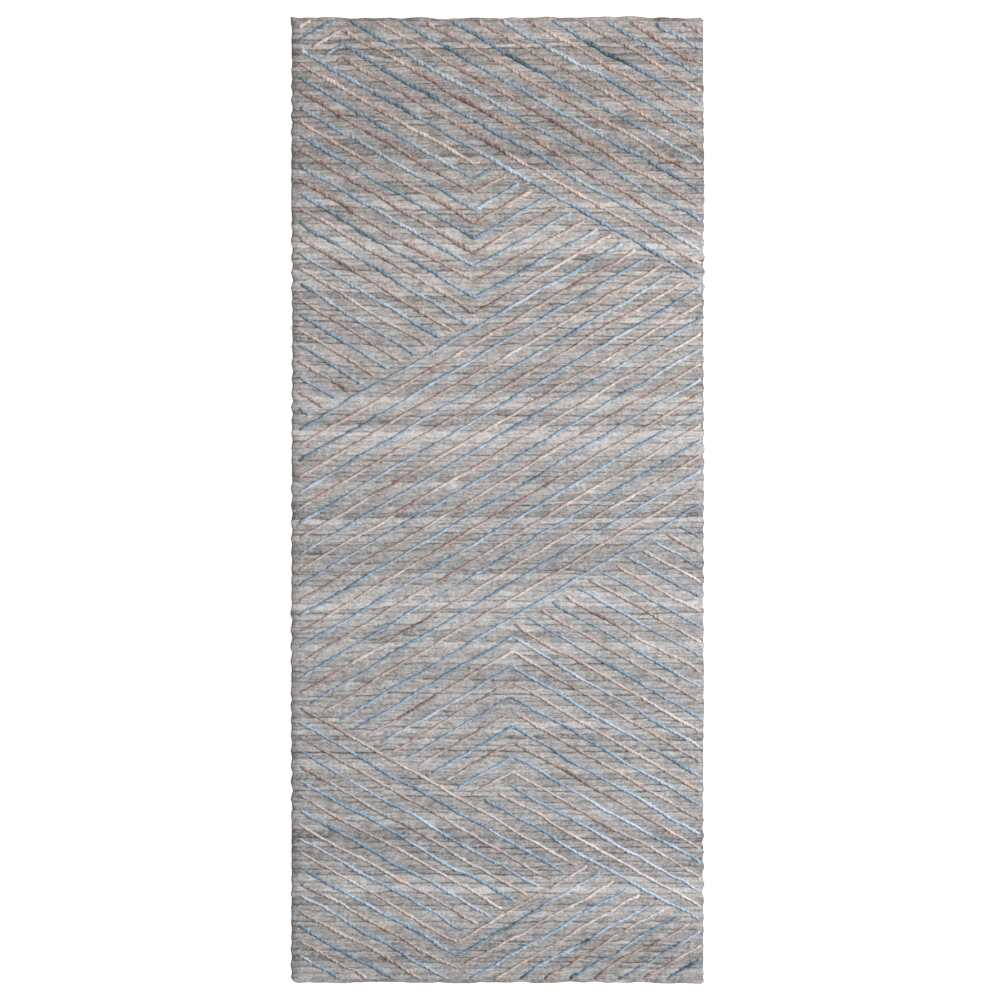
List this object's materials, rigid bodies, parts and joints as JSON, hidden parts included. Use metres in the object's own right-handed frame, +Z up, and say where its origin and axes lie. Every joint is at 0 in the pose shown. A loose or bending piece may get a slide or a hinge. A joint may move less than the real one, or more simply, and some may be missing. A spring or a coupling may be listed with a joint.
{
  "type": "runner rug",
  "caption": "Rectangular runner rug: ribbed flatwoven ground, overcast selvedges and rolled end hems, with raised diagonal and chevron lines of blue and rose yarn on its face.",
  "frame": {"origin": "centre of the underside, on the floor that the rug lies on", "axes": "+X across the rug to its right edge, +Y along it to its head end, +Z up out of the face with the raised lines"},
  "size_m": [0.784, 1.83, 0.0098],
  "materials": {
    "ground_weave": "matt heather grey wool flatweave with weft ribs and soft darker and lighter bands",
    "edge_binding": "matt grey wool, overcast round the edge cords",
    "blue_yarn": "soft twisted yarn, slate to pale sky blue along its length, slight sheen",
    "rose_yarn": "soft twisted yarn, rust to pale rose along its length, slight sheen"
  },
  "bodies": {
    "root": {"woven_ground": "ground_weave", "left_selvedge": "edge_binding", "right_selvedge": "edge_binding", "head_hem": "edge_binding", "foot_hem": "edge_binding", "blue_yarn_foot_1": "blue_yarn", "blue_yarn_foot_2": "blue_yarn", "blue_yarn_foot_chevrons_1": "blue_yarn", "blue_yarn_foot_corner_1": "blue_yarn", "blue_yarn_foot_right_1": "blue_yarn", "blue_yarn_foot_right_2": "blue_yarn", "blue_yarn_head_1": "blue_yarn", "blue_yarn_head_2": "blue_yarn", "blue_yarn_head_3": "blue_yarn", "blue_yarn_head_corner_1": "blue_yarn", "blue_yarn_head_divider_1": "blue_yarn", "blue_yarn_left_wedge_1": "blue_yarn", "blue_yarn_left_wedge_2": "blue_yarn", "blue_yarn_left_wedge_3": "blue_yarn", "blue_yarn_lower_chevrons_1": "blue_yarn", "blue_yarn_lower_chevrons_2": "blue_yarn", "blue_yarn_lower_divider_1": "blue_yarn", "blue_yarn_lower_right_1": "blue_yarn", "blue_yarn_middle_1": "blue_yarn", "blue_yarn_middle_2": "blue_yarn", "blue_yarn_middle_3": "blue_yarn", "blue_yarn_middle_divider_1": "blue_yarn", "blue_yarn_right_wedge_1": "blue_yarn", "blue_yarn_right_wedge_2": "blue_yarn", "blue_yarn_right_wedge_3": "blue_yarn", "blue_yarn_upper_chevrons_1": "blue_yarn", "blue_yarn_upper_chevrons_2": "blue_yarn", "blue_yarn_upper_divider_1": "blue_yarn", "rose_yarn_foot_1": "rose_yarn", "rose_yarn_foot_2": "rose_yarn", "rose_yarn_foot_chevrons_1": "rose_yarn", "rose_yarn_foot_corner_1": "rose_yarn", "rose_yarn_foot_right_1": "rose_yarn", "rose_yarn_foot_right_2": "rose_yarn", "rose_yarn_head_1": "rose_yarn", "rose_yarn_head_2": "rose_yarn", "rose_yarn_head_3": "rose_yarn", "rose_yarn_head_corner_2": "rose_yarn", "rose_yarn_left_divider_1": "rose_yarn", "rose_yarn_left_wedge_1": "rose_yarn", "rose_yarn_left_wedge_2": "rose_yarn", "rose_yarn_lower_chevrons_1": "rose_yarn", "rose_yarn_lower_chevrons_2": "rose_yarn", "rose_yarn_lower_right_1": "rose_yarn", "rose_yarn_middle_1": "rose_yarn", "rose_yarn_middle_2": "rose_yarn", "rose_yarn_middle_3": "rose_yarn", "rose_yarn_middle_4": "rose_yarn", "rose_yarn_right_wedge_1": "rose_yarn", "rose_yarn_right_wedge_2": "rose_yarn", "rose_yarn_right_wedge_3": "rose_yarn", "rose_yarn_upper_chevrons_1": "rose_yarn", "rose_yarn_upper_chevrons_2": "rose_yarn"}
  },
  "joints": []
}
